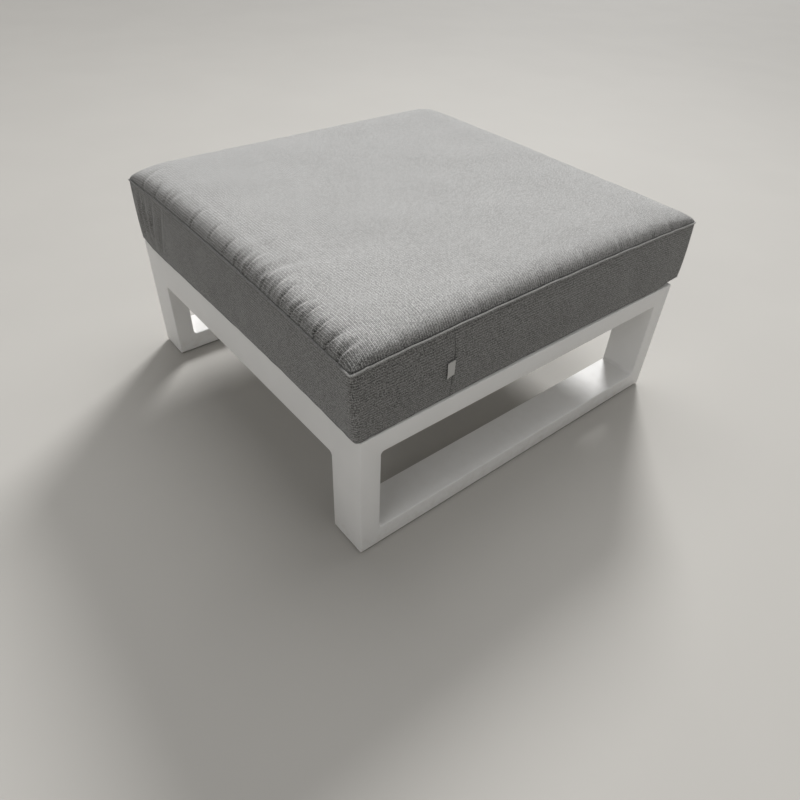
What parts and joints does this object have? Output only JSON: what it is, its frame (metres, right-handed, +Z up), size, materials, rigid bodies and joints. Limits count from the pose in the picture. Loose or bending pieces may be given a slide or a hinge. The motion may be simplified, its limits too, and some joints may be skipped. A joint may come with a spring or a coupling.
{
  "type": "outdoor ottoman footstool",
  "caption": "Low square outdoor ottoman: white welded tube frame on ring-shaped sled legs with a thick loose grey box cushion, used as a footstool or extra seat.",
  "frame": {"origin": "on the floor, under the middle of the seat", "axes": "+Z up; +X across the two ring sleds, to the side that carries the label tag; -Y the front, where the tall front rail is seen"},
  "size_m": [0.8052, 0.8272, 0.4333],
  "materials": {
    "frame_coat": "satin",
    "glide_plastic": "matte",
    "screw_steel": "satin",
    "cover_weave": "matte",
    "white_fibre": "matte",
    "foam": "matte",
    "tag_ribbon": "matte",
    "zip_tape": "matte",
    "zip_metal": "satin"
  },
  "bodies": {
    "frame": {"right_sled_bottom_rail": "frame_coat", "right_sled_top_rail": "frame_coat", "right_sled_front_leg": "frame_coat", "right_sled_back_leg": "frame_coat", "left_sled_bottom_rail": "frame_coat", "left_sled_top_rail": "frame_coat", "left_sled_front_leg": "frame_coat", "left_sled_back_leg": "frame_coat", "front_rail": "frame_coat", "back_rail": "frame_coat", "seat_slat_1": "frame_coat", "seat_slat_2": "frame_coat", "seat_slat_3": "frame_coat", "seat_slat_4": "frame_coat", "seat_slat_5": "frame_coat", "seat_slat_6": "frame_coat", "right_front_glide": "glide_plastic", "right_back_glide": "glide_plastic", "left_front_glide": "glide_plastic", "left_back_glide": "glide_plastic", "right_front_glide_screw": "screw_steel", "right_back_glide_screw": "screw_steel", "left_front_glide_screw": "screw_steel", "left_back_glide_screw": "screw_steel"},
    "cushion": {"cover_top_panel": "cover_weave", "cover_bottom_panel": "cover_weave", "cover_front_boxing": "cover_weave", "cover_back_boxing": "cover_weave", "fibre_wrap": "white_fibre", "foam_core": "foam", "label_tag": "tag_ribbon", "zip_upper_tape": "zip_tape", "zip_lower_tape": "zip_tape"},
    "zip_slider": {"zip_slider": "zip_metal"},
    "zip_pull": {"zip_pull": "zip_metal"}
  },
  "joints": [
    {"name": "cushion_lift", "type": "slide", "parent": "frame", "child": "cushion", "axis": [0, 0, 1], "range_m": [0, 0.3]},
    {"name": "zip_slide", "type": "slide", "parent": "cushion", "child": "zip_slider", "axis": [-1, 0, 0], "range_m": [0, 0.536]},
    {"name": "zip_pull_swing", "type": "hinge", "parent": "zip_slider", "child": "zip_pull", "pos_m": [0.268, 0.40889, 0.3302], "axis": [0, 0, -1], "range_deg": [0, 180]}
  ]
}
